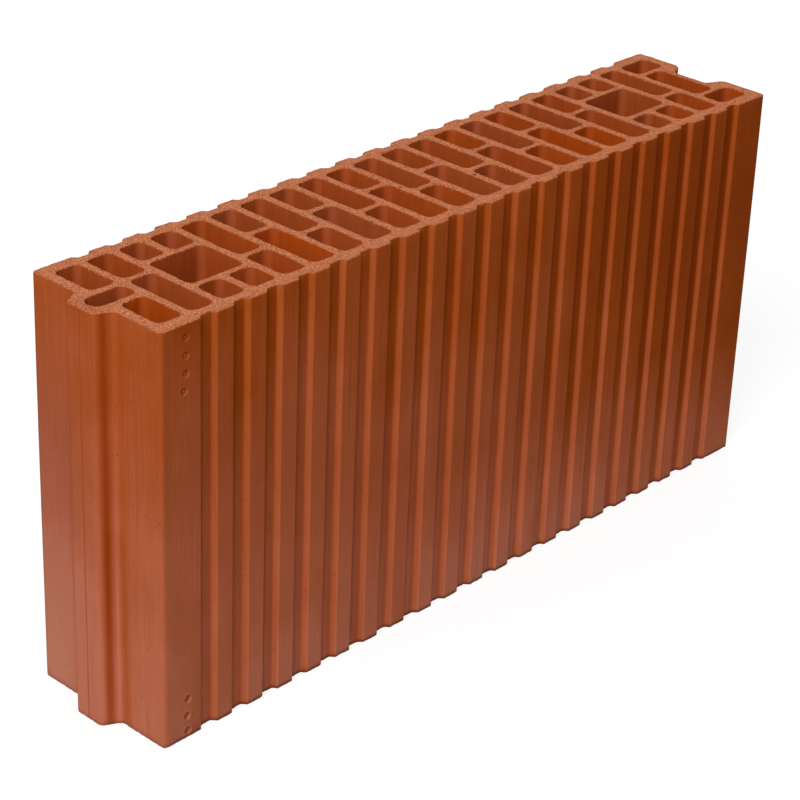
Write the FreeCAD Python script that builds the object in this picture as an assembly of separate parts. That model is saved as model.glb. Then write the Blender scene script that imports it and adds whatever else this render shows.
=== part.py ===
import FreeCAD, Part
import math
import os

# A hollow fired-clay partition block: one extruded section, cut to length off the die
# and ground flat on both bed faces. X runs along the wall, Y through its thickness and
# Z up along the cells. The tongue points to -X and the groove opens to +X. The origin
# is on the lower bed face, under the middle of the whole outline. Sizes in millimetres.

# Overall block
LENGTH = 500.0               # coursing length, from shoulder to shoulder
THICKNESS = 100.0            # across the two ribbed faces, land to land
HEIGHT = 249.0               # between the ground bed faces
CORNER_RADIUS = 2.5          # upright outer corners

# Walls
SHELL = 9.2                  # face shell, from a rib land to the cells
END_WALL = 7.0               # from an end face to the nearest cells
CROSS_WEB = 5.3              # webs through the thickness, between the columns of cells
LONG_WEB = 4.0               # webs along the block, between the cells of one column

# Cells
COLUMNS = 22                 # columns of cells along the block
COLUMN_SPREAD = 1.6          # farthest that a column stands off an even spacing; the middle columns are wider
SHORT_CELL = 29.8            # the shorter cell of an ordinary column; the other fills the rest
CELL_RADIUS = 3.9            # upright corners of the cells
GRIP_HOLE = 33.4             # hand grip, across the thickness; it joins two columns
COLUMNS_OUTSIDE_GRIP = 2     # columns between each end and its hand grip

# Tongue
TONGUE_PROJECTION = 10.5     # from the shoulders to the tip
TONGUE_TIP = 20.0            # width at the tip
TONGUE_ROOT = 31.0           # width at the shoulders
TONGUE_TIP_RADIUS = 4.0
TONGUE_ROOT_RADIUS = 4.0
TONGUE_END_WALL = 6.0        # from the tip to the cell inside the tongue
TONGUE_SIDE_WALL = 4.0       # from the edge of the tip to the cell inside the tongue
TONGUE_CELL_RADIUS = 5.7     # outer corners of that cell
TONGUE_CELL_WEB = 5.0        # webs on each side of that cell

# Groove, which takes the tongue of the next block with room for tolerance
GROOVE_END_GAP = 1.0         # free space past the tongue's tip
GROOVE_SIDE_GAP = 2.0        # free space on each side of the tongue
GROOVE_WALL = 4.0            # from the groove's bottom to the middle cell
GROOVE_SIDE_WALL = 7.5       # from the groove's mouth to the cells on each side of it
GROOVE_LIP_RADIUS = 5.0
GROOVE_BOTTOM_RADIUS = 3.0

# Plaster-key ribs on both faces
RIB_GROOVES = 20             # grooves on each face
RIB_GROOVE_MOUTH = 12.0
RIB_GROOVE_FLOOR = 7.0
RIB_GROOVE_DEPTH = 2.8
EDGE_LAND = 26.5             # plain land from each end to the first groove
RIB_LAND_RADIUS = 0.6
RIB_FLOOR_RADIUS = 1.5

# Places along X and Y that follow from the sizes above
shoulder_x = (TONGUE_PROJECTION - LENGTH) / 2
end_x = shoulder_x + LENGTH
tip_x = shoulder_x - TONGUE_PROJECTION
face_y = THICKNESS / 2
inner_y = face_y - SHELL

groove_bottom_x = end_x - TONGUE_PROJECTION - GROOVE_END_GAP
groove_bottom_y = TONGUE_TIP / 2 + GROOVE_SIDE_GAP
groove_mouth_y = TONGUE_ROOT / 2 + GROOVE_SIDE_GAP

first_cell_x = shoulder_x + END_WALL
cells_length = groove_bottom_x - GROOVE_WALL - first_cell_x
column_pitch = (cells_length + CROSS_WEB) / COLUMNS
rib_pitch = (LENGTH - 2 * EDGE_LAND - RIB_GROOVE_MOUTH) / (RIB_GROOVES - 1)


def rounded_wire(corners):
    """Closed wire through (x, y, radius) corners, each rounded by an arc tangent to its two sides.

    An arc takes less than half of either side, so neighbouring arcs never meet."""
    points = [FreeCAD.Vector(x, y, 0) for x, y, radius in corners]
    arcs = []
    for index, (x, y, radius) in enumerate(corners):
        corner = points[index]
        back = points[index - 1] - corner
        ahead = points[(index + 1) % len(points)] - corner
        half_turn = (math.pi - back.getAngle(ahead)) / 2
        reach = min(radius * math.tan(half_turn), 0.48 * back.Length, 0.48 * ahead.Length)
        fitted_radius = reach / math.tan(half_turn)
        back.normalize()
        ahead.normalize()
        inward = (back + ahead).normalize()
        middle = corner + inward * fitted_radius * (1 / math.cos(half_turn) - 1)
        arcs.append((corner + back * reach, middle, corner + ahead * reach))
    edges = []
    for index, (start, middle, end) in enumerate(arcs):
        next_start = arcs[(index + 1) % len(arcs)][0]
        edges.append(Part.Arc(start, middle, end).toShape())
        edges.append(Part.LineSegment(end, next_start).toShape())
    return Part.Wire(edges)


def rib_groove(center_x):
    """Corners of one groove in the front face, from left to right."""
    floor_y = RIB_GROOVE_DEPTH - face_y
    return [
        (center_x - RIB_GROOVE_MOUTH / 2, -face_y, RIB_LAND_RADIUS),
        (center_x - RIB_GROOVE_FLOOR / 2, floor_y, RIB_FLOOR_RADIUS),
        (center_x + RIB_GROOVE_FLOOR / 2, floor_y, RIB_FLOOR_RADIUS),
        (center_x + RIB_GROOVE_MOUTH / 2, -face_y, RIB_LAND_RADIUS),
    ]


def outline():
    """Outer wire: the front half from the tongue's tip to the groove's bottom, then its mirror image."""
    front = [
        (tip_x, -TONGUE_TIP / 2, TONGUE_TIP_RADIUS),
        (shoulder_x, -TONGUE_ROOT / 2, TONGUE_ROOT_RADIUS),
        (shoulder_x, -face_y, CORNER_RADIUS),
    ]
    first_rib_x = shoulder_x + EDGE_LAND + RIB_GROOVE_MOUTH / 2
    for rib in range(RIB_GROOVES):
        front += rib_groove(first_rib_x + rib * rib_pitch)
    front += [
        (end_x, -face_y, CORNER_RADIUS),
        (end_x, -groove_mouth_y, GROOVE_LIP_RADIUS),
        (groove_bottom_x, -groove_bottom_y, GROOVE_BOTTOM_RADIUS),
    ]
    back = [(x, -y, radius) for x, y, radius in reversed(front)]
    return rounded_wire(front + back)


def cell(x_low, x_high, y_low, y_high, left_radius=CELL_RADIUS):
    """Wire of one upright cell; its two corners toward the tongue may have their own radius."""
    return rounded_wire([
        (x_low, y_low, left_radius),
        (x_high, y_low, CELL_RADIUS),
        (x_high, y_high, CELL_RADIUS),
        (x_low, y_high, left_radius),
    ])


def column_start(column):
    """Left side of a column: even spacing plus one sine wave, which widens the middle and narrows the ends."""
    spread = COLUMN_SPREAD * math.sin(2 * math.pi * column / COLUMNS)
    return first_cell_x + column * column_pitch - spread


def column_end(column):
    return column_start(column + 1) - CROSS_WEB


def side_cells(x_low, x_high, from_y):
    """One cell against each face shell, reaching in to from_y on either side of the middle."""
    return [
        cell(x_low, x_high, -inner_y, -from_y),
        cell(x_low, x_high, from_y, inner_y),
    ]


def tongue_column():
    """First column: a cell that runs out into the tongue, and one on each side of it."""
    middle_y = TONGUE_TIP / 2 - TONGUE_SIDE_WALL
    middle = cell(tip_x + TONGUE_END_WALL, column_end(0), -middle_y, middle_y, TONGUE_CELL_RADIUS)
    return [middle] + side_cells(column_start(0), column_end(0), middle_y + TONGUE_CELL_WEB)


def ordinary_column(column):
    """A short and a long cell; the short one changes sides from column to column, to stagger the webs."""
    if column % 2:
        web_y = inner_y - SHORT_CELL
        web_low, web_high = web_y - LONG_WEB, web_y
    else:
        web_y = SHORT_CELL - inner_y
        web_low, web_high = web_y, web_y + LONG_WEB
    return [
        cell(column_start(column), column_end(column), -inner_y, web_low),
        cell(column_start(column), column_end(column), web_high, inner_y),
    ]


def grip_columns(column):
    """Two columns joined in the middle by a hand grip, with small cells in front of and behind it."""
    grip_y = GRIP_HOLE / 2
    wires = [cell(column_start(column), column_end(column + 1), -grip_y, grip_y)]
    for beside in (column, column + 1):
        wires += side_cells(column_start(beside), column_end(beside), grip_y + LONG_WEB)
    return wires


def groove_column():
    """Last column: wide cells on each side of the groove, and a middle cell behind its bottom."""
    last = COLUMNS - 1
    side_y = groove_mouth_y + GROOVE_SIDE_WALL
    middle_y = side_y - LONG_WEB
    middle = cell(column_start(last), column_end(last), -middle_y, middle_y)
    return [middle] + side_cells(column_start(last), end_x - END_WALL, side_y)


def all_cells():
    first_grip = COLUMNS_OUTSIDE_GRIP
    last_grip = COLUMNS - COLUMNS_OUTSIDE_GRIP - 2
    wires = tongue_column() + groove_column() + grip_columns(first_grip) + grip_columns(last_grip)
    joined = (first_grip, first_grip + 1, last_grip, last_grip + 1)
    for column in range(1, COLUMNS - 1):
        if column not in joined:
            wires += ordinary_column(column)
    return wires


section = Part.makeFace([outline()] + all_cells(), "Part::FaceMakerBullseye")
block = section.extrude(FreeCAD.Vector(0, 0, HEIGHT))

os.makedirs("parts", exist_ok=True)
block.exportStep("parts/clay_block.step")
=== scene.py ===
"""A hollow fired-clay partition block, dressed as it leaves the kiln and the grinder.

The block's skin is its section carried up along the cells, with crumbled arrises and
sandy ground bed faces. Lengths are millimetres until the mesh is written in metres.
The material and the studio are in metres.
"""
import itertools

import bpy
import numpy as np
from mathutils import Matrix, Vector
from mathutils.geometry import delaunay_2d_cdt


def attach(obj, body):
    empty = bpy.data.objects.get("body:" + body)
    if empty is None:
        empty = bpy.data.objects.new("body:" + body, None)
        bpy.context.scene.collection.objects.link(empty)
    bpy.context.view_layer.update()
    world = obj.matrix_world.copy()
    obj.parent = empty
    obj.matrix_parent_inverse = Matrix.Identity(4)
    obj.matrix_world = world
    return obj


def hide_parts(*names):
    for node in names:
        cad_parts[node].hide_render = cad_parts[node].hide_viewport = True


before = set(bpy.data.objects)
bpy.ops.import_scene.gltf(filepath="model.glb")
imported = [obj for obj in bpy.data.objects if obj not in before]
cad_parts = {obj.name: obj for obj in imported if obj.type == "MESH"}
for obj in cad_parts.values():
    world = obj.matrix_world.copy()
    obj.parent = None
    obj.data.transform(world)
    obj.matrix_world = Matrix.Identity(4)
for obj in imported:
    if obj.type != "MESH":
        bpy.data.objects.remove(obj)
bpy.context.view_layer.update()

# Overall block, as it is in the part's source
LENGTH = 500.0               # coursing length, from shoulder to shoulder
THICKNESS = 100.0            # across the two ribbed faces, land to land
HEIGHT = 249.0               # between the ground bed faces
CORNER_RADIUS = 2.5          # upright outer corners

# Walls
SHELL = 9.2                  # face shell, from a rib land to the cells
END_WALL = 7.0               # from an end face to the nearest cells
CROSS_WEB = 5.3              # webs through the thickness, between the columns of cells
LONG_WEB = 4.0               # webs along the block, between the cells of one column

# Cells
COLUMNS = 22                 # columns of cells along the block
COLUMN_SPREAD = 1.6          # farthest that a column stands off an even spacing
SHORT_CELL = 29.8            # the shorter cell of an ordinary column; the other fills the rest
CELL_RADIUS = 3.9            # upright corners of the cells
GRIP_HOLE = 33.4             # hand grip, across the thickness; it joins two columns
COLUMNS_OUTSIDE_GRIP = 2     # columns between each end and its hand grip

# Tongue
TONGUE_PROJECTION = 10.5     # from the shoulders to the tip
TONGUE_TIP = 20.0            # width at the tip
TONGUE_ROOT = 31.0           # width at the shoulders
TONGUE_RADIUS = 4.0          # corners of its tip and its root
TONGUE_END_WALL = 6.0        # from the tip to the cell inside the tongue
TONGUE_SIDE_WALL = 4.0       # from the edge of the tip to the cell inside the tongue
TONGUE_CELL_RADIUS = 5.7     # outer corners of that cell
TONGUE_CELL_WEB = 5.0        # webs on each side of that cell

# Groove
GROOVE_END_GAP = 1.0         # free space past the tongue's tip
GROOVE_SIDE_GAP = 2.0        # free space on each side of the tongue
GROOVE_WALL = 4.0            # from the groove's bottom to the middle cell
GROOVE_SIDE_WALL = 7.5       # from the groove's mouth to the cells on each side of it
GROOVE_LIP_RADIUS = 5.0
GROOVE_BOTTOM_RADIUS = 3.0

# Plaster-key ribs on both faces
RIB_GROOVES = 20             # grooves on each face
RIB_GROOVE_MOUTH = 12.0
RIB_GROOVE_FLOOR = 7.0
RIB_GROOVE_DEPTH = 2.8
EDGE_LAND = 26.5             # plain land from each end to the first groove
RIB_LAND_RADIUS = 0.6
RIB_FLOOR_RADIUS = 1.5

# Places along X and Y that follow from the sizes above
shoulder_x = (TONGUE_PROJECTION - LENGTH) / 2
end_x = shoulder_x + LENGTH
tip_x = shoulder_x - TONGUE_PROJECTION
face_y = THICKNESS / 2
inner_y = face_y - SHELL
groove_bottom_x = end_x - TONGUE_PROJECTION - GROOVE_END_GAP
groove_bottom_y = TONGUE_TIP / 2 + GROOVE_SIDE_GAP
groove_mouth_y = TONGUE_ROOT / 2 + GROOVE_SIDE_GAP
first_cell_x = shoulder_x + END_WALL
column_pitch = (groove_bottom_x - GROOVE_WALL - first_cell_x + CROSS_WEB) / COLUMNS
first_rib_x = shoulder_x + EDGE_LAND + RIB_GROOVE_MOUTH / 2
rib_pitch = (LENGTH - 2 * EDGE_LAND - RIB_GROOVE_MOUTH) / (RIB_GROOVES - 1)

# Steps of the mesh
LATTICE = 32                 # random values along each side of a noise lattice
ARC_POINTS = 5               # points on each rounded corner
LEAST_RADIUS = 0.05          # of a corner on an inset loop
FULL_INSET = 1.6             # how far into the clay the inset copy of each loop runs
OUTER_SPACING = 1.2          # between points on the straight runs of the outside
TIP_SPACING = 0.35           # on the tongue's tip, which carries the die's seam
CELL_SPACING = 1.0
OUTER_LEVELS = (5.0, 30.0, 70.0, 110.0, 150.0, 190.0, 222.0, 244.0)
CELL_LEVELS = (4.0, 125.0, 238.0)
FRONT_CORNER = 2             # number of the outside corner between the tongue's end and the front
WITH_HULL = 0                # the kind of triangulation that also fills the convex hull
MERGE_DISTANCE = 1e-5
METRES = 0.001               # metres per millimetre

# Points of the bed faces: a jittered grid, kept clear of the loops by the distances below
WEB_STEP = 1.9
WEB_JITTER = 0.55
WEB_HALF_WIDTH = 45.6
WEB_FROM_SHOULDER = 2.5
WEB_FROM_END = 2.0
CLEAR_OF_CELLS = 1.55
CLEAR_OF_RIBS = 1.8
CLEAR_OF_GROOVE_BOTTOM = 2.2
CLEAR_OF_GROOVE_MOUTH = 3.2
SAND_RELIEF = 0.16           # deepest that the sand of a bed face lies under it
SAND_GRAIN = 2.6

# Crumbled arrises: a usual radius, a ragged part, and nicks and chips where their noise passes a level
ARRIS_ANGLES = np.radians([0.0, 35.0, 65.0, 90.0])
ARRIS_RADIUS = 0.45
ARRIS_LEAST, ARRIS_MOST = 0.1, 1.5
RAGGED_GRAIN, RAGGED_PART = 1.1, 0.4
NICK_GRAIN, NICK_PART, NICK_LEVEL = 3.1, 0.9, 0.2
CHIP_GRAIN, CHIP_PART, CHIP_LEVEL = 9.0, 1.8, 0.45
UPPER_SHIFT = (0.0, 0.0, 60.0)    # moves the noise, so that upper and lower arrises differ
BACK_MARGIN = 1.0                 # from the cells to where the back's upper arris begins
BACK_LEAST, BACK_GAIN, BACK_MOST = 0.6, 1.2, 1.55    # that arris is worn more than the rest
FOOT_WEAR = 0.6                   # added to the outside's lower arris

# Drag lines and the seam that the die leaves, and a slow drift of the whole skin
FINE_DRAG_GRAIN, FINE_DRAG = 1.3, 0.045
WIDE_DRAG_GRAIN, WIDE_DRAG = 5.0, 0.09
DRAG_OUTWARD = 0.02          # farthest that a drag line would stand out, before all move in by it
SEAM_WIDTH, SEAM_DEPTH, SEAM_REACH = 0.4, 0.5, 0.2
DRIFT, DRIFT_GRAIN = 0.3, 31.0
DRIFT_STRETCH = (1.0, 1.0, 0.2)

# Round dimples on the land beside the tongue: their places, from the shoulder and up from the foot.
# The widths of the knob and the lip, and the lip's place, are in dimple radii.
DIMPLES = (
    (17.0, 241.5), (16.8, 231.3), (16.9, 221.2), (15.6, 211.5),
    (17.1, 25.0), (16.3, 14.4), (16.9, 4.9),
)
DIMPLE_RADIUS, DIMPLE_DEPTH = 2.4, 1.2
KNOB_SHARE, KNOB_WIDTH = 0.8, 0.34
LIP_HEIGHT, LIP_PLACE, LIP_WIDTH = 0.35, 1.12, 0.16
PATCH_HALF, PATCH_POINTS = 3.3, 19    # the fine square net about each dimple
CLEAR_OF_DIMPLES = 3.8
LAND_COLUMNS = 12            # the coarse net between them
LAND_LEVELS = np.arange(9.0, 241.0, 3.0)
BED_MARGIN = 2.2             # from the net to a bed face

# Seeds
OUTER_SEED = 11
FIRST_CELL_SEED, CELL_SEED_STEP = 40, 4
WEB_SEED = 5
TONE_SEED = 8
SAND_SEED = 77
DRIFT_SEED = 90

# Places on the outside where light and shade are painted into the colour, as x, y and width of a bell
# curve: painted shade on the tongue's sides, past its root and at the upright corner, and a painted
# highlight on the root's bend
TONGUE_SIDE = (shoulder_x - 5.5, TONGUE_TIP / 2 + 2.4, 2.3)
PAST_ROOT = (shoulder_x, TONGUE_ROOT / 2 + 3.8, 4.0)
ROOT_BEND = (shoulder_x - 1.0, TONGUE_ROOT / 2 - 0.6, 1.1)
BLOCK_CORNER = (shoulder_x + 0.7, face_y - 0.7, 1.6)
RIBS_FROM_END = 10.0         # where the ribbed part of a face begins
HALF_FLOOR, HALF_FADE = 0.6, 3.0    # share at a floor's middle, and the width over which it changes by 1
MID_LENGTH = 95.0            # how far from mid-length the left halves of the rib floors get painted light
FOOT_SHARE, FOOT_FADE = 0.6, 275.0  # painted shade on the tongue's sides: share at the foot, and the height that adds 1
# Painted shade along the die's seam on the tongue's tip: its width, and how far from the tip it reaches
SEAM_SHADE_WIDTH, SEAM_SHADE_REACH = 0.45, 1.5
# Painted shade that keeps bloom off the right halves of the rib floors, the seam and the land past the
# root; painted light that adds bloom to the left halves, and a painted highlight on the root's bend
RIGHT_PAINTED_SHADE, LEFT_PAINTED_LIGHT, SEAM_PAINTED_SHADE, PAST_ROOT_PAINTED_SHADE, BEND_PAINTED_HIGHLIGHT = 0.35, 0.3, 0.4, 0.55, 0.5
# Weights of the painted shade that darkens the tongue's sides, the seam and the upright corners
SIDE_PAINTED_DARK, SEAM_PAINTED_DARK, CORNER_PAINTED_DARK = 0.72, 0.4, 0.16
LEFT_RAISE = 0.5             # taken off the sunken share of the left halves, which thins the painted shade on them
PAINTED_HIGHLIGHT_ARC = (0.1, 0.9)        # part of a half sine wave of painted highlight that runs round a cell's corner


def lattice_noise(points, scale, seed):
    """Smooth noise from -1 to 1: random values on a cubic lattice, joined by the ease curve 3t^2 - 2t^3."""
    values = np.random.default_rng(seed).uniform(-1.0, 1.0, (LATTICE, LATTICE, LATTICE))
    place = points / scale
    base = np.floor(place).astype(int)
    t = place - base
    t = t * t * (3.0 - 2.0 * t)
    total = np.zeros(points.shape[:-1])
    for corner in itertools.product((0, 1), repeat=3):
        weight = np.where(corner, t, 1.0 - t).prod(-1)
        x, y, z = np.moveaxis((base + corner) % LATTICE, -1, 0)
        total += weight * values[x, y, z]
    return total


def every_pair(first, second):
    """Every pair of two rows of numbers, the first running fastest."""
    return np.stack(np.meshgrid(first, second), -1).reshape(-1, 2)


def outline_corners():
    """Corners (x, y, radius) of the outside, walked with the clay on the left.

    The front half runs from the tongue's tip to the groove's bottom, and its mirror image follows."""
    floor_y = RIB_GROOVE_DEPTH - face_y
    shape = np.array([
        (-RIB_GROOVE_MOUTH / 2, -face_y, RIB_LAND_RADIUS),
        (-RIB_GROOVE_FLOOR / 2, floor_y, RIB_FLOOR_RADIUS),
        (RIB_GROOVE_FLOOR / 2, floor_y, RIB_FLOOR_RADIUS),
        (RIB_GROOVE_MOUTH / 2, -face_y, RIB_LAND_RADIUS),
    ])
    middles = first_rib_x + rib_pitch * np.arange(RIB_GROOVES)
    ribs = shape + middles[:, None, None] * np.array([1.0, 0.0, 0.0])
    front = np.concatenate([
        [(tip_x, -TONGUE_TIP / 2, TONGUE_RADIUS)],
        [(shoulder_x, -TONGUE_ROOT / 2, TONGUE_RADIUS)],
        [(shoulder_x, -face_y, CORNER_RADIUS)],
        ribs.reshape(-1, 3),
        [(end_x, -face_y, CORNER_RADIUS)],
        [(end_x, -groove_mouth_y, GROOVE_LIP_RADIUS)],
        [(groove_bottom_x, -groove_bottom_y, GROOVE_BOTTOM_RADIUS)],
    ])
    return np.concatenate([front, front[::-1] * (1.0, -1.0, 1.0)])


def cell_corners(x_low, x_high, y_low, y_high, left_radius=CELL_RADIUS):
    """Corners of one cell, walked clockwise so that the clay is on the left."""
    return np.array([
        (x_low, y_low, left_radius),
        (x_low, y_high, left_radius),
        (x_high, y_high, CELL_RADIUS),
        (x_high, y_low, CELL_RADIUS),
    ])


def column_start(column):
    """Left side of a column: even spacing less one sine wave, which widens the middle columns."""
    return first_cell_x + column * column_pitch - COLUMN_SPREAD * np.sin(2 * np.pi * column / COLUMNS)


def column_end(column):
    """Right side of a column: one web before the next column."""
    return column_start(column + 1) - CROSS_WEB


def side_cells(x_low, x_high, from_y):
    """One cell against each face shell, reaching in to from_y on either side of the middle."""
    return [
        cell_corners(x_low, x_high, -inner_y, -from_y),
        cell_corners(x_low, x_high, from_y, inner_y),
    ]


def tongue_column():
    """First column: a cell that runs out into the tongue, and one on each side of it."""
    middle_y = TONGUE_TIP / 2 - TONGUE_SIDE_WALL
    outer_x = tip_x + TONGUE_END_WALL
    middle = cell_corners(outer_x, column_end(0), -middle_y, middle_y, TONGUE_CELL_RADIUS)
    return [middle] + side_cells(column_start(0), column_end(0), middle_y + TONGUE_CELL_WEB)


def groove_column():
    """Last column: a middle cell behind the groove's bottom, and a wide cell on each side of the groove."""
    last = COLUMNS - 1
    side_y = groove_mouth_y + GROOVE_SIDE_WALL
    middle = cell_corners(column_start(last), column_end(last), LONG_WEB - side_y, side_y - LONG_WEB)
    return [middle] + side_cells(column_start(last), end_x - END_WALL, side_y)


def grip_columns(column):
    """A hand grip that joins two columns, and the four small cells beside it."""
    grip_y = GRIP_HOLE / 2
    cells = [cell_corners(column_start(column), column_end(column + 1), -grip_y, grip_y)]
    for beside in (column, column + 1):
        cells += side_cells(column_start(beside), column_end(beside), grip_y + LONG_WEB)
    return cells


def ordinary_column(column):
    """A short and a long cell, with the short one at the back of every odd column."""
    web_low = inner_y - SHORT_CELL - LONG_WEB if column % 2 else SHORT_CELL - inner_y
    x_low = column_start(column)
    x_high = column_end(column)
    return [
        cell_corners(x_low, x_high, -inner_y, web_low),
        cell_corners(x_low, x_high, web_low + LONG_WEB, inner_y),
    ]


def all_cells():
    """Corner sets of every cell: both end columns, both grips, then the ordinary columns."""
    grips = (COLUMNS_OUTSIDE_GRIP, COLUMNS - COLUMNS_OUTSIDE_GRIP - 2)
    joined = [column + step for column in grips for step in (0, 1)]
    cells = tongue_column() + groove_column()
    for column in grips:
        cells += grip_columns(column)
    for column in range(1, COLUMNS - 1):
        if column not in joined:
            cells += ordinary_column(column)
    return cells


def walk(corners, inset, spacing, steps=None):
    """Points around closed corners whose sides have moved by inset to their left, into the clay.

    A corner between sides with left normals n and m moves by inset (n + m) / (1 + n.m). Its arc starts
    radius tan(turn / 2) before it and swings by the turn about a centre square to the arriving side.
    Straight runs between arcs are split evenly. Also gives each run's steps and each arc's first point."""
    place = corners[:, :2]
    along = np.roll(place, -1, axis=0) - place
    along /= np.linalg.norm(along, axis=1)[:, None]
    left = along[:, ::-1] * (-1.0, 1.0)
    arriving = np.roll(along, 1, axis=0)
    left_arriving = np.roll(left, 1, axis=0)
    place = place + inset * (left + left_arriving) / (1.0 + (left * left_arriving).sum(1))[:, None]
    turn = np.arctan2((left_arriving * along).sum(1), (arriving * along).sum(1))
    side = np.sign(turn)
    radius = np.maximum(corners[:, 2] - inset * side, LEAST_RADIUS)
    start = place - arriving * (radius * np.tan(np.abs(turn) / 2))[:, None]
    center = start + left_arriving * (side * radius)[:, None]
    swing = turn[:, None] * np.linspace(0.0, 1.0, ARC_POINTS)
    spoke = (start - center)[:, None]
    turned = spoke[..., ::-1] * (-1.0, 1.0)
    arcs = center[:, None] + spoke * np.cos(swing)[..., None] + turned * np.sin(swing)[..., None]
    gap = np.roll(start, -1, axis=0) - arcs[:, -1]
    if steps is None:
        steps = np.maximum(np.ceil(np.linalg.norm(gap, axis=1) / spacing), 1).astype(int)
    runs = []
    for arc, step, count in zip(arcs, gap, steps):
        runs.append(arc)
        runs.append(arc[-1] + step * (np.arange(1, count) / count)[:, None])
    first = np.concatenate([[0], np.cumsum(ARC_POINTS + steps - 1)[:-1]])
    return np.concatenate(runs), steps, first


def arris_size(points, seed):
    """Radius of the crumbled arris at each point.

    The usual radius plus a share of ragged noise, and a share of what the noises of nicks and of wider
    chips have above their levels, held between the least and the most."""
    ragged = RAGGED_PART * lattice_noise(points, RAGGED_GRAIN, seed)
    nicks = NICK_PART * np.maximum(lattice_noise(points, NICK_GRAIN, seed + 1) - NICK_LEVEL, 0.0)
    chips = CHIP_PART * np.maximum(lattice_noise(points, CHIP_GRAIN, seed + 3) - CHIP_LEVEL, 0.0)
    return np.clip(ARRIS_RADIUS + ragged + nicks + chips, ARRIS_LEAST, ARRIS_MOST)


def drag_lines(plain, seed):
    """How far the die has dragged each point of a loop inward: fine and wide noise, and the tongue's seam.

    The seam is a bell curve across the middle of the tongue's tip."""
    flat = np.c_[plain, np.zeros(len(plain))]
    fine = FINE_DRAG * lattice_noise(flat, FINE_DRAG_GRAIN, seed)
    wide = WIDE_DRAG * lattice_noise(flat, WIDE_DRAG_GRAIN, seed + 1)
    seam = np.exp(-(plain[:, 1] / SEAM_WIDTH) ** 2) * (plain[:, 0] < tip_x + SEAM_REACH)
    return np.maximum(fine + wide + SEAM_DEPTH * seam, -DRAG_OUTWARD) + DRAG_OUTWARD


def wall(corners, spacing, levels, seed, foot_wear=0.0):
    """One loop carried from bed face to bed face.

    At height z the loop is its plain copy moved toward its inset copy. On an arris of radius c that inset
    is c (1 - cos a) and the drop below the bed face c (1 - sin a), for the angles a. Drag lines move the
    whole height of a point inward, less so on the arrises. The upper arris is worn most along the back,
    and the lower one by foot_wear more than the rest. Gives rows of points from the bottom up, how much of
    each row is ground clay, the first point of each corner, and the drag lines."""
    plain, steps, first = walk(corners, 0.0, spacing)
    inset, _, _ = walk(corners, FULL_INSET, spacing, steps)
    inward = (inset - plain) / FULL_INSET
    drag = drag_lines(plain, seed)
    flat = np.c_[plain, np.zeros(len(plain))]
    low = np.minimum(arris_size(flat, seed + 2) + foot_wear, ARRIS_MOST)
    high = arris_size(flat + UPPER_SHIFT, seed + 2)
    worn_back = np.minimum(BACK_LEAST + BACK_GAIN * high, BACK_MOST)
    high = np.where(plain[:, 1] > inner_y + BACK_MARGIN, worn_back, high)
    angles = ARRIS_ANGLES[:, None]
    upright = np.zeros((len(levels), len(plain)))
    depth = np.concatenate([low * (1 - np.cos(angles[::-1])), upright, high * (1 - np.cos(angles))])
    height = np.concatenate([
        low * (1 - np.sin(angles[::-1])),
        upright + np.array(levels)[:, None],
        HEIGHT - high * (1 - np.sin(angles)),
    ])
    ground = np.concatenate([np.sin(ARRIS_ANGLES[::-1]), np.zeros(len(levels)), np.sin(ARRIS_ANGLES)])
    depth += drag * (1 - ground)[:, None]
    points = np.concatenate([plain + inward * depth[..., None], height[..., None]], -1)
    return points, ground, first, drag


def wall_faces(numbers, open_part=None):
    """Quads between neighbouring rows and points of one loop, apart from a block of them left open."""
    after = np.roll(numbers, -1, axis=1)
    quads = np.stack([numbers[:-1], after[:-1], after[1:], numbers[1:]], -1)
    kept = np.ones(quads.shape[:2], bool)
    if open_part:
        kept[open_part] = False
    return quads[kept]


def fill(places, loops, loose):
    """Triangles that fill the clay between closed loops, through loose points.

    They count the loops' places first and the loose points after them.
    Every loop has the clay on its left, so a triangle with all three corners on one loop lies outside the
    clay when it meets them against the loop's order: its three forward steps along the loop then add up to
    two rounds."""
    spots = np.concatenate([places, loose])
    edges = np.concatenate([np.c_[loop, np.roll(loop, -1)] for loop in loops])
    vectors = [Vector(spot) for spot in spots.tolist()]
    found = delaunay_2d_cdt(vectors, edges.tolist(), [], WITH_HULL, MERGE_DISTANCE)
    source = np.array([own[0] for own in found[3]])
    faces = source[np.array(found[2])]
    a, b, c = (spots[faces[:, corner]] for corner in range(3))
    area = (b[:, 0] - a[:, 0]) * (c[:, 1] - a[:, 1]) - (b[:, 1] - a[:, 1]) * (c[:, 0] - a[:, 0])
    faces = np.where((area > 0)[:, None], faces, faces[:, ::-1])
    owner = np.full(len(spots), -1)
    for number, loop in enumerate(loops):
        owner[loop] = number
    sizes = np.array([len(loop) for loop in loops])
    starts = np.array([loop[0] for loop in loops])
    number = owner[faces]
    one_loop = (number[:, 0] >= 0) & (number == number[:, :1]).all(1)
    size = sizes[number[:, 0]][:, None]
    order = faces - starts[number[:, 0]][:, None]
    rounds = ((np.roll(order, -1, axis=1) - order) % size).sum(1)
    return faces[~(one_loop & (rounds == 2 * size[:, 0]))]


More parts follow.
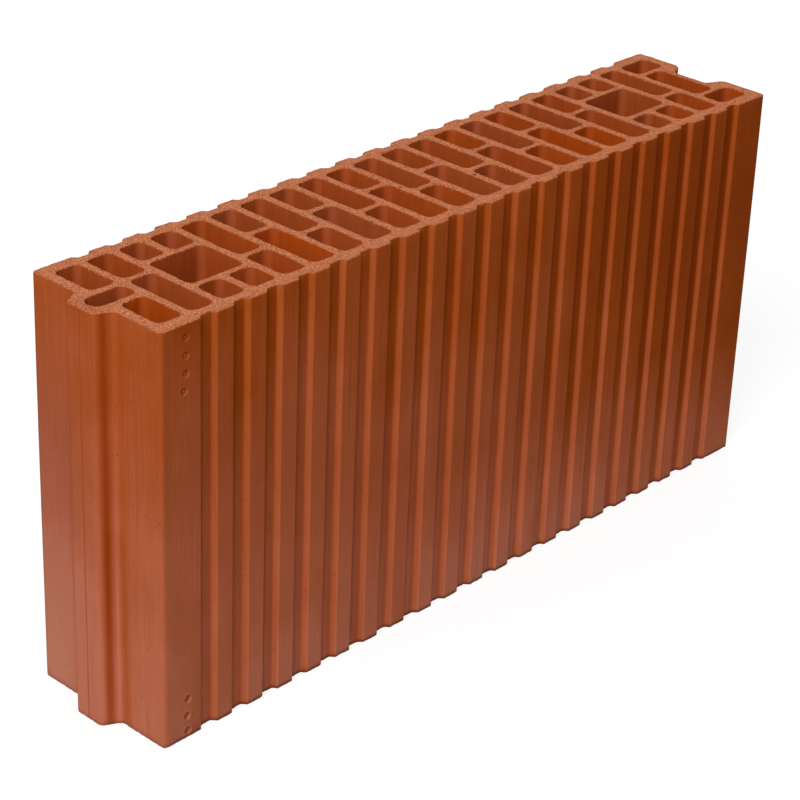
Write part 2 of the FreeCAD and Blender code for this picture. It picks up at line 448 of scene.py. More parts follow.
def web_points(cells):
    """A jittered grid of points in the clay between the loops, clear of cells, ribs and groove."""
    along = np.arange(shoulder_x + WEB_FROM_SHOULDER, end_x - WEB_FROM_END, WEB_STEP)
    across = np.arange(-WEB_HALF_WIDTH, WEB_HALF_WIDTH + WEB_STEP / 2, WEB_STEP)
    spots = every_pair(along, across)
    spots = spots + np.random.default_rng(WEB_SEED).uniform(-WEB_JITTER, WEB_JITTER, spots.shape)
    low = np.array([cell[:, :2].min(0) for cell in cells])
    high = np.array([cell[:, :2].max(0) for cell in cells])
    outside = np.maximum(low - spots[:, None], spots[:, None] - high).max(-1).min(-1)
    from_middle = np.abs(spots[:, 1])
    in_groove = spots[:, 0] > groove_bottom_x - CLEAR_OF_GROOVE_BOTTOM
    in_groove &= from_middle < groove_mouth_y + CLEAR_OF_GROOVE_MOUTH
    clear_of_ribs = from_middle < face_y - RIB_GROOVE_DEPTH - CLEAR_OF_RIBS
    return spots[(outside > CLEAR_OF_CELLS) & clear_of_ribs & ~in_groove]


def dimple_places():
    """Places (x, z) of the dimples' middles."""
    return np.array(DIMPLES) + (shoulder_x, 0.0)


def dimple_depth(x, z):
    """Depth of the round dimples at distance d from a middle, in dimple radii.

    The bowl is the full depth times 1 - d^4 inside the radius. A knob in the middle and a thin raised lip
    round it, both bell curves of d, are taken off it."""
    spots = dimple_places()
    d = np.hypot(x[:, None] - spots[:, 0], z[:, None] - spots[:, 1]) / DIMPLE_RADIUS
    bowl = DIMPLE_DEPTH * np.maximum(1 - d ** 4, 0.0)
    knob = KNOB_SHARE * DIMPLE_DEPTH * np.exp(-(d / KNOB_WIDTH) ** 2)
    lip = LIP_HEIGHT * np.exp(-((d - LIP_PLACE) / LIP_WIDTH) ** 2)
    return (bowl - knob - lip).sum(1)


def land_net(x_low, x_high):
    """Places (x, z) of the land beside the tongue: a fine square net about each dimple and a coarse one."""
    patch = np.linspace(-PATCH_HALF, PATCH_HALF, PATCH_POINTS)
    fine = (dimple_places()[:, None] + every_pair(patch, patch)).reshape(-1, 2)
    coarse = every_pair(np.linspace(x_low, x_high, LAND_COLUMNS)[1:-1], LAND_LEVELS)
    apart = np.abs(coarse[:, None] - dimple_places()).max(-1).min(-1) > CLEAR_OF_DIMPLES
    net = np.concatenate([fine, coarse[apart]])
    return net[(net[:, 1] > BED_MARGIN) & (net[:, 1] < HEIGHT - BED_MARGIN)]


def border(grid):
    """What lies on the border of a grid, walked round from its first row."""
    return np.concatenate([grid[0], grid[1:, -1], grid[-1, -2::-1], grid[-2:0:-1, 0]])


class Skin:
    """Points, faces and shares of the clay's skin, gathered part by part."""

    def __init__(self):
        self.count = 0
        self.points = []
        self.faces = []
        self.shares = {label: [] for label in ("ground", "tone", "cellar", "nook", "rim")}

    def add(self, points, **shares):
        """Adds a grid or row of points and their shares, 0 where none is given, and gives their numbers."""
        numbers = self.count + np.arange(points[..., 0].size).reshape(points.shape[:-1])
        self.count += numbers.size
        self.points.append(points.reshape(-1, 3))
        for label, values in self.shares.items():
            values.append(np.broadcast_to(shares.get(label, 0.0), numbers.shape).ravel())
        return numbers


def add_outer_wall(skin):
    """The outer wall, apart from the plain land beside the tongue, which is left open for its finer net.

    Gives the wall's numbers and points, and the numbers, points and drag lines of the open land."""
    corners = outline_corners()
    spacing = np.full(len(corners), OUTER_SPACING)
    spacing[-1] = TIP_SPACING
    points, ground, first, drag = wall(corners, spacing, OUTER_LEVELS, OUTER_SEED, FOOT_WEAR)
    numbers = skin.add(points, ground=ground[:, None], rim=1.0)
    row_low = len(ARRIS_ANGLES) - 1
    row_high = len(points) - len(ARRIS_ANGLES)
    point_low = first[FRONT_CORNER] + ARC_POINTS - 1
    point_high = first[FRONT_CORNER + 1]
    skin.faces.append(wall_faces(numbers, np.s_[row_low:row_high, point_low:point_high]))
    land = np.s_[row_low:row_high + 1, point_low:point_high + 1]
    return numbers, points, (numbers[land], points[land], drag[land[1]])


def add_cell_walls(skin, cells):
    """The walls of every cell, each with its own tone, and a painted highlight that follows a sine round
    each corner.
    """
    tones = np.random.default_rng(TONE_SEED).uniform(-1.0, 1.0, len(cells))
    walls = []
    for number, cell in enumerate(cells):
        seed = FIRST_CELL_SEED + CELL_SEED_STEP * number
        points, ground, first, _ = wall(cell, CELL_SPACING, CELL_LEVELS, seed)
        nook = np.zeros(points.shape[1])
        nook[first[:, None] + np.arange(ARC_POINTS)] = np.sin(np.linspace(*PAINTED_HIGHLIGHT_ARC, ARC_POINTS) * np.pi)
        shares = {"ground": ground[:, None], "tone": tones[number], "cellar": 1.0, "nook": nook, "rim": 1.0}
        numbers = skin.add(points, **shares)
        skin.faces.append(wall_faces(numbers))
        walls.append((numbers, points))
    return walls


def add_bed_face(skin, walls, between, upper):
    """A ground bed face from the outer wall's rim to the cells' rims.

    Its inner points lie under the face by SAND_RELIEF times the size of a noise."""
    row = -1 if upper else 0
    rims = [points[row] for _, points in walls]
    ends = np.cumsum([len(rim) for rim in rims])
    loops = [np.arange(end - len(rim), end) for end, rim in zip(ends, rims)]
    triangles = fill(np.concatenate(rims)[:, :2], loops, between)
    level = np.full(len(between), HEIGHT if upper else 0.0)
    sand = SAND_RELIEF * np.abs(lattice_noise(np.c_[between, level], SAND_GRAIN, SAND_SEED))
    sanded = skin.add(np.c_[between, level - sand if upper else level + sand], ground=1.0)
    numbers = np.concatenate([numbers[row] for numbers, _ in walls] + [sanded])
    skin.faces.append(numbers[triangles if upper else triangles[:, ::-1]])


def add_dimpled_land(skin, numbers, points, drag):
    """The plain land beside the tongue: a net at the front face, moved in by drag lines and dimples."""
    net = land_net(points[0, 0, 0], points[0, -1, 0])
    ring = border(numbers)
    triangles = fill(border(points)[:, [0, 2]], [np.arange(len(ring))], net)
    dragged = np.interp(net[:, 0], points[0, :, 0], drag)
    y = -face_y + dragged + dimple_depth(net[:, 0], net[:, 1])
    inside = skin.add(np.c_[net[:, 0], y, net[:, 1]])
    skin.faces.append(np.concatenate([ring, inside])[triangles])


def skin_shares(points):
    """Shares of the outside skin that its colour follows, each a bell curve or a ramp of the place.

    Painted shade and light: painted shade that keeps bloom off the right half of the floors between ribs,
    the tongue's sides (less toward the foot), the die's seam and the land past the tongue's root; below 0,
    painted light that adds bloom to the left half of the floors at mid-length, and a painted highlight on
    the root's bend.
    sunken: from 0 at half the depth of a rib groove to 1 on its floor, less on those left halves; it
    carries the painted shade of the floors.
    slanted: 1 about half the depth of a rib groove, down to 0 on the lands and floors; it places a painted
    sheen on the flanks.
    Painted darkening: painted shade on the tongue's sides, along the die's seam and on the upright corners."""
    x = points[:, 0]
    y = np.abs(points[:, 1])
    z = points[:, 2]

    def bell(from_x, from_y, width):
        return np.exp(-((x - from_x) ** 2 + (y - from_y) ** 2) / width ** 2)

    ribbed = (y > inner_y) & (x > shoulder_x + RIBS_FROM_END) & (x < end_x - RIBS_FROM_END)
    depth = (face_y - y) / RIB_GROOVE_DEPTH * ribbed
    from_middle = (x - first_rib_x + rib_pitch / 2) % rib_pitch - rib_pitch / 2
    sunken = np.clip(2.0 * depth - 1.0, 0.0, 1.0)
    slanted = np.clip(3.0 - 6.0 * np.abs(depth - 0.5), 0.0, 1.0)
    # Right and left halves of the rib floors: painted shade on the right, painted light on the left
    right = sunken * np.clip(HALF_FLOOR + from_middle / HALF_FADE, 0.0, 1.0)
    left = sunken * np.clip(HALF_FLOOR - from_middle / HALF_FADE, 0.0, 1.0)
    left *= np.exp(-(x / MID_LENGTH) ** 2)
    # Painted shade on the tongue's sides, and along the die's seam
    tongue_side_shade = bell(*TONGUE_SIDE) * np.clip(FOOT_SHARE + z / FOOT_FADE, FOOT_SHARE, 1.0)
    seam_shade = np.exp(-(y / SEAM_SHADE_WIDTH) ** 2) * (x < tip_x + SEAM_SHADE_REACH)
    # Painted shade past the tongue's root, and a painted highlight on the root's bend
    root = PAST_ROOT_PAINTED_SHADE * bell(*PAST_ROOT) - BEND_PAINTED_HIGHLIGHT * bell(*ROOT_BEND)
    floors = RIGHT_PAINTED_SHADE * right - LEFT_PAINTED_LIGHT * left
    return {
        "painted_shade_and_light": floors + tongue_side_shade + SEAM_PAINTED_SHADE * seam_shade + root,
        "sunken": sunken - LEFT_RAISE * left,
        "slanted": slanted,
        "painted_darkening": SIDE_PAINTED_DARK * tongue_side_shade + SEAM_PAINTED_DARK * seam_shade + CORNER_PAINTED_DARK * bell(*BLOCK_CORNER),
    }


def block_skin():
    """The whole skin: outer wall, cell walls, both bed faces and the land that carries the dimples.

    A slow noise then drifts it a little along x and y, and it is held inside the block's own box."""
    skin = Skin()
    cells = all_cells()
    outer_numbers, outer_points, land = add_outer_wall(skin)
    walls = [(outer_numbers, outer_points)] + add_cell_walls(skin, cells)
    between = web_points(cells)
    for upper in (False, True):
        add_bed_face(skin, walls, between, upper)
    add_dimpled_land(skin, *land)
    points = np.concatenate(skin.points)
    slow = points * DRIFT_STRETCH
    for axis in (0, 1):
        points[:, axis] += DRIFT * lattice_noise(slow, DRIFT_GRAIN, DRIFT_SEED + axis)
    points = np.clip(points, (tip_x, -face_y, 0.0), (end_x, face_y, HEIGHT))
    shares = {label: np.concatenate(values) for label, values in skin.shares.items()}
    return points, skin.faces, shares | skin_shares(points)


def write_mesh(name, points, faces, shares):
    """A smooth mesh in metres from points, sets of quads or triangles, and one named share per point."""
    mesh = bpy.data.meshes.new(name)
    mesh.from_pydata((points * METRES).tolist(), [], [face for part in faces for face in part.tolist()])
    for label, values in shares.items():
        attribute = mesh.attributes.new(label, "FLOAT", "POINT")
        attribute.data.foreach_set("value", values.astype(np.float32))
    mesh.polygons.foreach_set("use_smooth", np.ones(len(mesh.polygons), bool))
    mesh.update()
    piece = bpy.data.objects.new(name, mesh)
    bpy.context.scene.collection.objects.link(piece)
    return piece


class Nodes:
    """Adds nodes to one tree: sums, products, ramps and mixes of what other nodes give."""

    def __init__(self, tree):
        self.tree = tree

    def feed(self, socket, value):
        """Links a socket to what another node gives, or sets it to a number or colour."""
        if isinstance(value, bpy.types.NodeSocket):
            self.tree.links.new(value, socket)
        else:
            socket.default_value = value

    def add(self, kind, sockets=None, **settings):
        """A node with its settings, and its sockets fed."""
        node = self.tree.nodes.new(kind)
        for key, value in settings.items():
            setattr(node, key, value)
        for socket, value in (sockets or {}).items():
            self.feed(node.inputs[socket], value)
        return node

    def maths(self, operation, first, second):
        """One operation on two values."""
        return self.add("ShaderNodeMath", {0: first, 1: second}, operation=operation).outputs[0]

    def plus(self, first, second):
        """Sum of two values."""
        return self.maths("ADD", first, second)

    def minus(self, first, second):
        """First value less the second."""
        return self.maths("SUBTRACT", first, second)

    def larger(self, first, second):
        """The larger of two values."""
        return self.maths("MAXIMUM", first, second)

    def times(self, first, *others):
        """Product of two or more values."""
        for other in others:
            first = self.maths("MULTIPLY", first, other)
        return first

    def reach(self, value, low, high, to_low=0.0, to_high=1.0, curve="LINEAR"):
        """Maps low..high to to_low..to_high, evenly or on an eased curve, and holds it there outside."""
        sockets = {"Value": value, "From Min": low, "From Max": high, "To Min": to_low, "To Max": to_high}
        return self.add("ShaderNodeMapRange", sockets, interpolation_type=curve).outputs["Result"]

    def mix(self, share, first, second):
        """Mix of two values by a share from 0 to 1."""
        return self.add("ShaderNodeMix", {0: share, 2: first, 3: second}, data_type="FLOAT").outputs[0]

    def blend(self, share, first, second):
        """Mix of two colours by a share from 0 to 1; a written colour is red, green and blue."""
        first, second = ((*color, 1.0) if isinstance(color, tuple) else color for color in (first, second))
        return self.add("ShaderNodeMix", {0: share, 6: first, 7: second}, data_type="RGBA").outputs[2]


# Noises in the clay: stretch along the cells, scale per metre, detail and roughness
NOISES = {
    "clouds": (1.0, 14.0, 4.0, 0.55),
    "bands": (0.1, 75.0, 2.0, 0.55),
    "mottles": (0.1, 420.0, 3.0, 0.7),
    "lines": (0.012, 520.0, 3.0, 0.7),
    "scratches": (0.012, 800.0, 1.0, 0.55),
    "grain": (1.0, 1400.0, 2.0, 0.6),
    "sand": (1.0, 2600.0, 2.0, 0.7),
    "crumbs": (1.0, 800.0, 2.0, 0.65),
}
GRITS, PORES, SPECKS = 2200.0, 75.0, 190.0    # scales per metre of the scattered spots

# Colours as linear red, green and blue; a pair is the darker and the lighter shade of a mottled colour
DEEP_SKIN = ((0.345, 0.060, 0.003), (0.425, 0.078, 0.006))
PALE_SKIN = ((0.54, 0.145, 0.070), (0.63, 0.180, 0.092))
WARM_CELL = ((0.375, 0.055, 0.002), (0.450, 0.071, 0.004))
DULL_CELL = ((0.310, 0.063, 0.016), (0.380, 0.082, 0.024))
GROUND_SAND = ((0.22, 0.060, 0.023), (0.79, 0.286, 0.136))
# Painted shade, where the bloom falls below 0
PAINTED_DEEP_SHADE = (0.275, 0.040, 0.001)
FROSTED_SKIN = (0.60, 0.215, 0.135)
BELT_SKIN = (0.33, 0.115, 0.087)
# Painted shade on the tongue's sides, the seam and the upright corners
PAINTED_SHADE_SKIN = (0.29, 0.036, 0.001)
MARKED_SKIN = (0.20, 0.035, 0.006)
# Painted highlight in the cells' rounded corners
PAINTED_HIGHLIGHT_CLAY = (0.54, 0.155, 0.075)
RIM_SAND = (0.48, 0.120, 0.042)
# Dark of the torn rims, and painted shade in the pores
TORN_SAND_AND_PORE_SHADE = (0.14, 0.035, 0.012)
# Painted shadow along the lower arris
FOOT_PAINTED_SHADOW = (0.115, 0.026, 0.006)

# Ramps of the bloom and of the light and shade painted into it: from and to, and what they give there; X, Y
# and Z in metres
DROP = (HEIGHT * METRES, 0.0)                 # from the upper bed face to the foot
BLOOM_AND_LIGHT_POWER = (-0.245, 0.22, 0.82, 3.2)       # along X; paler toward the foot, partly the clay's bloom and partly painted light
BLOOM_AND_LIGHT_MIDDLE = (0.0, 0.04, 1.2, 1.0)          # by the square of X
END_FACE = (-0.235, -0.243)                   # along X, on the tongue's end
END_BLOOM_AND_LIGHT = (0.15, 0.8, 0.15, 0.9)            # by the drop, on an eased curve; paler toward the foot, partly painted light
HALF_BLOOM = (-0.235, -0.243, 0.0, 0.65)
HALF_ACROSS = (-0.02, 0.04)                   # across Y, toward the back
HALF_GAIN = 1.15
# Painted shade: darker high up, toward the groove's end, on the rib floors, and more on the front than the
# back
DEEP_SHADE_ALONG = (0.02, 0.17, 0.0, 0.32)
DEEP_SHADE_RISE = (0.0, 0.12, 0.2, 1.0)
DEEP_SHADE_FLOORS = (0.13, 0.22, 0.0, 0.22)
DEEP_SHADE_ACROSS = (0.03, -0.03, 0.35, 1.0)
# Painted sheen on the rib flanks, by height
FLANK_PAINTED_SHEEN = (HEIGHT * METRES, 0.0, 0.12, 0.62)
CLOUD_BLOOM = (0.3, 0.7, -0.11, 0.15)
RIB_BLOOM = (-0.243, -0.22, 0.0, 0.24)

# Ramps and weights of the skin's and the cells' colours
SHADE = (0.3, 0.7)
# Painted shade from the bloom below 0
DEEP_SHADE_FROM_BLOOM = (0.02, -0.5, 0.0, 0.8)
FROST_FROM_BLOOM = (0.8, 1.5)
BELT_GAIN = 8.0
SPECK_EDGE, SPECK_PICK, SPECK_WEIGHT = (0.16, 0.08), (0.70, 0.74), 0.45
SCRATCH_EDGE, SCRATCH_PLACE, SCRATCH_WEIGHT = (0.60, 0.70), (0.48, 0.62), 0.3
CELL_TONE = (-1.0, 1.0, 0.05, 0.85)
# How much painted highlight each cell's tone takes
PAINTED_HIGHLIGHT_TONE = (-1.0, 1.0, 0.24, 0.08)

# Ramps and weights of the ground clay, its relief, and the shadow painted along its foot
DUST = (0.26, 0.74)
# Pores, sunken in the relief and darkened as painted shade
PORE_EDGE, PORE_PICK = (0.10, 0.05), (0.62, 0.66)
RIM_WEIGHT = 0.3
TORN_EDGE, TORN_RIM = (0.55, 0.63, 0.0, 0.8), (0.68, 0.95)
UPPER_SPILL, LOWER_SPILL, SPILL_EDGE = (0.2460, 0.2488), (0.0030, 0.0002), (0.46, 0.36, 0.0, 0.9)
BARED_EDGE = (0.72, 0.92)
FOOT_ARRIS, FOOT_RISE, FOOT_ALONG = (1.0, 0.92), (0.0032, 0.0012), (-0.243, -0.235, 0.25, 0.7)
CLAY_ROUGHNESS = (0.0, 1.0, 0.62, 0.95)
CLAY_SPECULAR = 0.03
LINE_RELIEF, GRAIN_RELIEF, DUST_RELIEF = 0.12, 0.08, 0.35
RELIEF_STRENGTH, RELIEF_DISTANCE = 0.6, 0.0006


class ClayNodes(Nodes):
    """The clay's own tree, with the places, noises and shades that its colours share."""

    def __init__(self, tree):
        super().__init__(tree)
        self.place = self.add("ShaderNodeTexCoord").outputs["Object"]
        spot = self.add("ShaderNodeSeparateXYZ", {"Vector": self.place}).outputs
        self.along, self.across, self.height = spot["X"], spot["Y"], spot["Z"]
        self.drop = self.reach(self.height, *DROP)
        self.noises = {label: self.noise(*NOISES[label]) for label in NOISES}
        even = self.plus(self.times(self.noises["clouds"], 0.5), self.times(self.noises["lines"], 0.5))
        uneven = self.times(self.minus(self.noises["mottles"], 0.5), 0.5)
        self.shade = self.reach(self.plus(even, uneven), *SHADE)
        half = self.reach(self.along, *HALF_BLOOM)
        self.end_half = self.times(half, self.reach(self.across, *HALF_ACROSS))

    def noise(self, stretch, scale, detail, roughness):
        """Noise from 0 to 1 on the block's own coordinates, stretched along the cells."""
        mapped = self.add("ShaderNodeMapping", {"Vector": self.place, "Scale": (1.0, 1.0, stretch)})
        sockets = {"Vector": mapped.outputs[0], "Scale": scale, "Detail": detail, "Roughness": roughness}
        return self.add("ShaderNodeTexNoise", sockets).outputs["Fac"]

    def scattered(self, scale):
        """Outputs of scattered cells: the distance from each middle, and a random colour for each."""
        return self.add("ShaderNodeTexVoronoi", {"Vector": self.place, "Scale": scale}).outputs

    def spots(self, scale, edge, pick):
        """Scattered round spots: a ramp of the distance from each middle, for the ones that pick keeps."""
        cells = self.scattered(scale)
        return self.times(self.reach(cells["Distance"], *edge), self.reach(cells["Color"], *pick))

    def share(self, label):
        """A share that the mesh carries on its points."""
        return self.add("ShaderNodeAttribute", attribute_name=label).outputs["Fac"]

    def mottled(self, pair):
        """A mottled colour from its darker and its lighter shade."""
        return self.blend(self.shade, *pair)


def bloom_and_painted_light(clay):
    """How much pale bloom and painted light lie on the outside skin; below 0 the colour takes painted
    shade.

    The drop from the top to a power, which grows toward the groove's end, with a little more at mid-length:
    paler toward the foot, partly the clay's bloom and partly painted light from below. The tongue's end has
    an eased rise, 3t^2 - 2t^3, instead, also partly painted light, and its back half more, as the drop
    squared.
    Painted shade takes a share of it, and painted light adds to it. Painted shade, high up and toward the
    groove's end and most of all on the floors between ribs, is taken off it. The slanted flanks of the ribs
    have a plain ramp instead, a painted sheen. Clouds and upright bands vary it."""
    # Paler toward the foot: partly bloom, partly painted light from below
    bloom = clay.maths("POWER", clay.drop, clay.reach(clay.along, *BLOOM_AND_LIGHT_POWER))
    bloom = clay.times(bloom, clay.reach(clay.times(clay.along, clay.along), *BLOOM_AND_LIGHT_MIDDLE))
    end_bloom_and_light = clay.reach(clay.drop, *END_BLOOM_AND_LIGHT, curve="SMOOTHSTEP")
    bloom = clay.mix(clay.reach(clay.along, *END_FACE), bloom, end_bloom_and_light)
    bloom = clay.plus(bloom, clay.times(clay.end_half, clay.drop, clay.drop, HALF_GAIN))
    # Painted shade keeps bloom off; below 0 it is painted light that adds bloom
    bloom = clay.times(bloom, clay.minus(1.0, clay.share("painted_shade_and_light")))
    sunken = clay.share("sunken")
    # Painted shade high up, toward the groove's end and on the rib floors
    deep_shade = clay.times(clay.reach(clay.along, *DEEP_SHADE_ALONG), clay.reach(clay.height, *DEEP_SHADE_RISE))
    deep_shade = clay.times(deep_shade, clay.plus(sunken, 1.0))
    deep_shade = clay.plus(deep_shade, clay.times(sunken, clay.reach(clay.height, *DEEP_SHADE_FLOORS)))
    bloom = clay.minus(bloom, clay.times(deep_shade, clay.reach(clay.across, *DEEP_SHADE_ACROSS)))
    # Painted sheen on the rib flanks
    bloom = clay.mix(clay.share("slanted"), bloom, clay.reach(clay.height, *FLANK_PAINTED_SHEEN))
    bloom = clay.plus(bloom, clay.reach(clay.noises["clouds"], *CLOUD_BLOOM))
    bands = clay.minus(clay.noises["bands"], 0.5)
    return clay.plus(bloom, clay.times(clay.reach(clay.along, *RIB_BLOOM), bands))


def outer_skin(clay):
    """Colour of the outside: deep to pale by the bloom and painted light, dark with painted shade below 0
    and frosted above it.

    A dull belt, as the square of drop times 1 - drop, crosses the back half of the tongue's end. Painted
    shade, specks and upright scratches darken the rest."""
    bloom = bloom_and_painted_light(clay)
    skin = clay.blend(clay.reach(bloom, 0.0, 1.0), clay.mottled(DEEP_SKIN), clay.mottled(PALE_SKIN))
    # Painted shade below 0
    skin = clay.blend(clay.reach(bloom, *DEEP_SHADE_FROM_BLOOM), skin, PAINTED_DEEP_SHADE)
    skin = clay.blend(clay.reach(bloom, *FROST_FROM_BLOOM), skin, FROSTED_SKIN)
    belt = clay.times(clay.drop, clay.minus(1.0, clay.drop))
    skin = clay.blend(clay.times(belt, belt, clay.end_half, BELT_GAIN), skin, BELT_SKIN)
    # Painted shade on the tongue's sides, the seam and the upright corners
    skin = clay.blend(clay.share("painted_darkening"), skin, PAINTED_SHADE_SKIN)
    specks = clay.times(clay.spots(SPECKS, SPECK_EDGE, SPECK_PICK), SPECK_WEIGHT)
    scratches = clay.reach(clay.noises["scratches"], *SCRATCH_EDGE)
    scratches = clay.times(scratches, clay.reach(clay.noises["clouds"], *SCRATCH_PLACE), SCRATCH_WEIGHT)
    return clay.blend(clay.larger(specks, scratches), skin, MARKED_SKIN)


def cell_walls(clay):
    """Colour inside the cells: dull to warm by each cell's tone, with a painted highlight in the rounded
    corners.
    """
    tone = clay.share("tone")
    inside = clay.blend(clay.reach(tone, *CELL_TONE), clay.mottled(DULL_CELL), clay.mottled(WARM_CELL))
    return clay.blend(clay.times(clay.share("nook"), clay.reach(tone, *PAINTED_HIGHLIGHT_TONE)), inside, PAINTED_HIGHLIGHT_CLAY)


def ground_sand(clay, dust, pores):
    """Colour of the ground clay: dark to light by the dust, redder at rims, dark in torn rims, and dark in
    pores as painted shade.
    """
    rim = clay.share("rim")
    sand = clay.blend(clay.reach(dust, *DUST), *GROUND_SAND)
    sand = clay.blend(clay.times(rim, RIM_WEIGHT), sand, RIM_SAND)
    torn = clay.times(clay.reach(clay.noises["crumbs"], *TORN_EDGE), clay.reach(rim, *TORN_RIM))
    # Painted shade in the pores, and the dark of the torn rims
    return clay.blend(clay.larger(pores, torn), sand, TORN_SAND_AND_PORE_SHADE)


def bared_clay(clay, ground):
    """Share of ground clay: all of the bed faces and, in ragged patches, a little way down their edges."""
    spill = clay.larger(clay.reach(clay.height, *UPPER_SPILL), clay.reach(clay.height, *LOWER_SPILL))
    spill = clay.times(spill, clay.reach(clay.noises["crumbs"], *SPILL_EDGE))
    bared = clay.plus(clay.larger(ground, spill), clay.times(clay.noises["grain"], 0.5))
    return clay.reach(bared, *BARED_EDGE)


def foot_painted_shadow(clay, ground):
    """Share of the painted shadow along the lower arris, where the block meets the floor: weak at the
    tongue's end, stronger along the ribs.
    """
    foot = clay.times(clay.reach(ground, *FOOT_ARRIS), clay.reach(clay.height, *FOOT_RISE))
    return clay.times(foot, clay.reach(clay.along, *FOOT_ALONG))


def clay_relief(clay, bared, dust, pores):
    """Fine relief: drag lines and grain on the skin, dust and sunken pores where the clay was ground."""
    lines = clay.times(clay.noises["lines"], LINE_RELIEF)
    smooth = clay.plus(lines, clay.times(clay.noises["grain"], GRAIN_RELIEF))
    sandy = clay.minus(clay.times(dust, DUST_RELIEF), pores)
    relief = clay.mix(bared, smooth, sandy)
    sockets = {"Height": relief, "Strength": RELIEF_STRENGTH, "Distance": RELIEF_DISTANCE}
    return clay.add("ShaderNodeBump", sockets).outputs["Normal"]


def fired_clay():
    """Fired red clay: a smooth skin with upright drag lines, and pale sand where it was ground."""
    material = bpy.data.materials.new("fired_clay")
    material.use_nodes = True
    clay = ClayNodes(material.node_tree)
    ground = clay.share("ground")
    grits = clay.add("ShaderNodeSeparateColor", {"Color": clay.scattered(GRITS)["Color"]}).outputs[0]
    dust = clay.plus(clay.times(clay.noises["sand"], 0.5), clay.times(grits, 0.5))
    pores = clay.spots(PORES, PORE_EDGE, PORE_PICK)
    bared = bared_clay(clay, ground)
    skin = clay.blend(clay.share("cellar"), outer_skin(clay), cell_walls(clay))
    color = clay.blend(bared, skin, ground_sand(clay, dust, pores))
    # Painted shadow along the lower arris
    color = clay.blend(foot_painted_shadow(clay, ground), color, FOOT_PAINTED_SHADOW)
    shader = material.node_tree.nodes["Principled BSDF"]
    clay.feed(shader.inputs["Base Color"], color)
    clay.feed(shader.inputs["Roughness"], clay.reach(bared, *CLAY_ROUGHNESS))
    clay.feed(shader.inputs["Specular IOR Level"], CLAY_SPECULAR)
    clay.feed(shader.inputs["Normal"], clay_relief(clay, bared, dust, pores))
    return material


# The studio, in metres and watts
FLOOR_SIZE = 12.0
FLOOR_GREY = (0.42, 0.42, 0.42, 1.0)     # what lights the block from below
FLOOR_ROUGHNESS = 0.9
PAPER_GREY = (0.26, 0.26, 0.26, 1.0)     # what the camera sees, lifted toward white
PAPER_LIFT = 0.8
WHITE = (1.0, 1.0, 1.0, 1.0)
WORLD_LIGHT = 0.1
WORLD_WHITE = 1.0
PANELS = {                               # size, power and place
    "side_panel": (1.7, 98.0, (-2.14, -1.03, 2.5)),
    "top_panel": (2.4, 19.0, (1.3, 0.65, 2.0)),
    "back_panel": (1.8, 14.0, (1.1, 1.9, 1.0)),
}
PANEL_AIM = Vector((0.0, 0.0, 0.12))
SENSOR_WIDTH = 36.0                      # millimetres, like the focal length
FOCAL_LENGTH = 112.97
CLIP_START = 0.05
CAMERA_PLACE = (-0.9788, -0.8844, 0.7959)
CAMERA_TURN = (1.08844, -0.03518, -0.81019)


def seen_rays(nodes):
    """1 for the rays that show the background: the camera's own and those of a gloss."""
    rays = nodes.add("ShaderNodeLightPath").outputs
    return nodes.larger(rays["Is Camera Ray"], rays["Is Glossy Ray"])


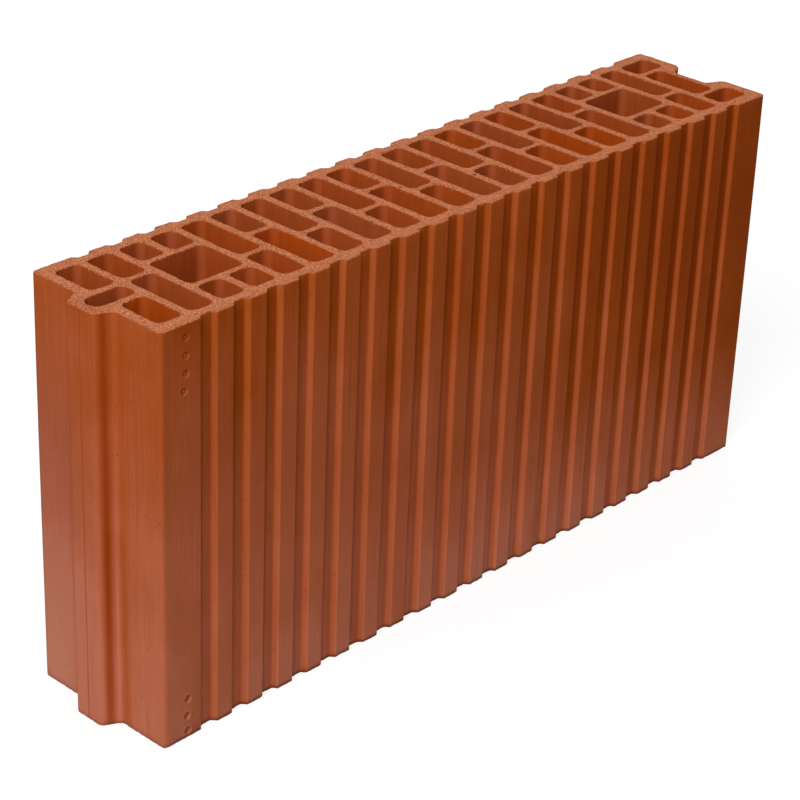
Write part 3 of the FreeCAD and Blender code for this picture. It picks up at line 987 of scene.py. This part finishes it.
def pale_floor():
    """A floor that looks white and keeps the block's shadow, and that lights the block as grey would."""
    bpy.ops.mesh.primitive_plane_add(size=FLOOR_SIZE)
    floor = bpy.context.object
    floor.name = "floor"
    material = bpy.data.materials.new("pale_floor")
    material.use_nodes = True
    nodes = Nodes(material.node_tree)
    shader = material.node_tree.nodes["Principled BSDF"]
    nodes.feed(shader.inputs["Base Color"], FLOOR_GREY)
    nodes.feed(shader.inputs["Roughness"], FLOOR_ROUGHNESS)
    nodes.feed(shader.inputs["Specular IOR Level"], 0.0)
    paper = nodes.add("ShaderNodeBsdfDiffuse", {"Color": PAPER_GREY})
    lift = nodes.add("ShaderNodeEmission", {"Color": WHITE, "Strength": PAPER_LIFT})
    bright = nodes.add("ShaderNodeAddShader", {0: paper.outputs[0], 1: lift.outputs[0]})
    sockets = {0: seen_rays(nodes), 1: shader.outputs[0], 2: bright.outputs[0]}
    mixed = nodes.add("ShaderNodeMixShader", sockets)
    nodes.feed(material.node_tree.nodes["Material Output"].inputs["Surface"], mixed.outputs[0])
    floor.data.materials.append(material)


def white_surround():
    """A world that is white to look at and gives the block a weak even light."""
    world = bpy.data.worlds.new("studio")
    bpy.context.scene.world = world
    world.use_nodes = True
    world.node_tree.nodes.clear()
    nodes = Nodes(world.node_tree)
    glow = nodes.add("ShaderNodeBackground", {"Color": WHITE, "Strength": WORLD_LIGHT})
    white = nodes.add("ShaderNodeBackground", {"Color": WHITE, "Strength": WORLD_WHITE})
    sockets = {0: seen_rays(nodes), 1: glow.outputs[0], 2: white.outputs[0]}
    mixed = nodes.add("ShaderNodeMixShader", sockets)
    nodes.add("ShaderNodeOutputWorld", {"Surface": mixed.outputs[0]})


def light_panels():
    """A soft panel of light above the tongue's end, and weaker ones above and behind."""
    for name, (size, power, place) in PANELS.items():
        panel = bpy.data.lights.new(name, "AREA")
        panel.shape = "SQUARE"
        panel.size = size
        panel.energy = power
        lamp = bpy.data.objects.new(name, panel)
        lamp.location = place
        lamp.rotation_euler = (PANEL_AIM - lamp.location).to_track_quat("-Z", "Y").to_euler()
        bpy.context.scene.collection.objects.link(lamp)


def photo_camera():
    """The photograph's viewpoint: a long lens, about a metre and a half from the block."""
    lens = bpy.data.cameras.new("camera")
    lens.sensor_width = SENSOR_WIDTH
    lens.lens = FOCAL_LENGTH
    lens.clip_start = CLIP_START
    camera = bpy.data.objects.new("camera", lens)
    camera.location = CAMERA_PLACE
    camera.rotation_euler = CAMERA_TURN
    bpy.context.scene.collection.objects.link(camera)
    bpy.context.scene.camera = camera


block = write_mesh("clay_block_skin", *block_skin())
block.data.materials.append(fired_clay())
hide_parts("clay_block")
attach(block, "root")
pale_floor()
white_surround()
light_panels()
photo_camera()
bpy.context.scene.view_settings.view_transform = "Standard"
